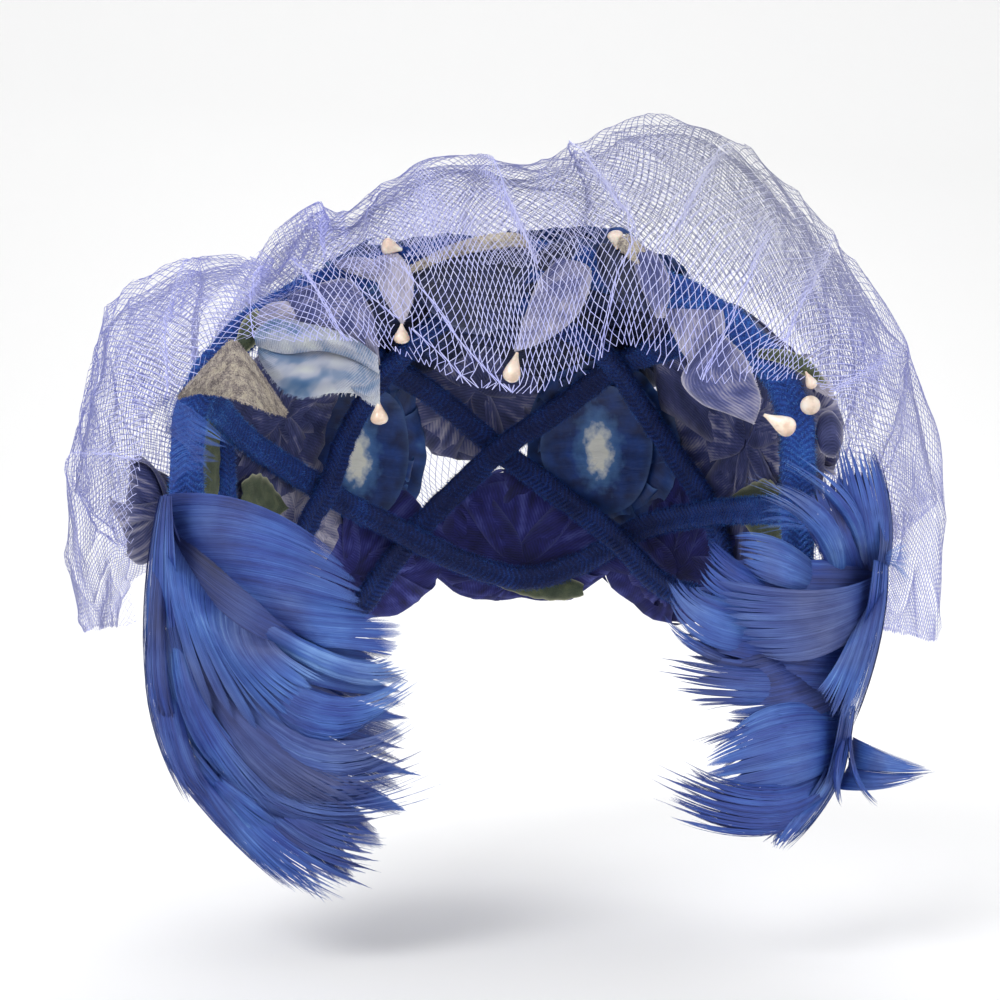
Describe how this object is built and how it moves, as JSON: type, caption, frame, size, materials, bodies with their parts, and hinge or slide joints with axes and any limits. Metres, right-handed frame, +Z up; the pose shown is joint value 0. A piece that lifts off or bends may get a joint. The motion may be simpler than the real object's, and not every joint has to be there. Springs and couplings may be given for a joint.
{
  "type": "veiled fascinator hat",
  "caption": "Half hat of crossing velvet bands that carries fabric flowers, pearl-tipped petals, feather pads at the sides and a puffed net veil.",
  "frame": {"origin": "inner top of the front arch, where the hat sits on the crown of the head", "axes": "+Z up, the wearer faces -Y, +X towards the wearer's left"},
  "size_m": [0.2511, 0.1724, 0.2116],
  "materials": {
    "blue_satin": "satin",
    "blue_velvet": "velvet",
    "feather": "feather",
    "grey_organdy": "sheer weave",
    "navy_satin": "satin",
    "net": "open net",
    "olive_velvet": "velvet",
    "pearl": "pearl gloss",
    "purple_velvet": "velvet",
    "tan_suede": "suede"
  },
  "bodies": {
    "root": {"back_rim": "blue_velvet", "blue_petal_left": "blue_satin", "crown_flower_left": "blue_satin", "crown_flower_right": "blue_satin", "feather_pad_left": "feather", "feather_pad_right": "feather", "front_arch": "blue_velvet", "grey_flower_back": "grey_organdy", "grey_petal_left": "grey_organdy", "grey_petal_middle": "grey_organdy", "grey_petal_right": "grey_organdy", "lavender_flower_left": "grey_organdy", "leaf_back": "olive_velvet", "leaf_left": "olive_velvet", "leaf_low_left": "olive_velvet", "leaf_right": "olive_velvet", "leaf_side_left": "olive_velvet", "narrow_petal_left": "grey_organdy", "night_flower_left": "navy_satin", "night_flower_right": "navy_satin", "organdy_flower_left": "grey_organdy", "organdy_flower_right": "grey_organdy", "organdy_petal_right": "grey_organdy", "pale_petal_left": "grey_organdy", "pansy_back": "purple_velvet", "pansy_low_left": "purple_velvet", "pansy_low_right": "purple_velvet", "pearl_far_left": "pearl", "pearl_far_right": "pearl", "pearl_left": "pearl", "pearl_middle": "pearl", "pearl_right": "pearl", "pearl_small_right": "pearl", "pearl_top_left": "pearl", "pearl_top_right": "pearl", "satin_flower_left": "blue_satin", "satin_flower_right": "blue_satin", "side_flower_left": "grey_organdy", "side_flower_right": "grey_organdy", "side_strut": "blue_velvet", "strip_a": "blue_velvet", "strip_b": "blue_velvet", "strip_c": "blue_velvet", "strip_d": "blue_velvet", "suede_leaf": "tan_suede", "thin_leaf_right": "olive_velvet", "veil": "net", "velvet_petal_left": "navy_satin", "velvet_petal_middle": "navy_satin", "velvet_petal_right": "navy_satin"}
  },
  "joints": []
}
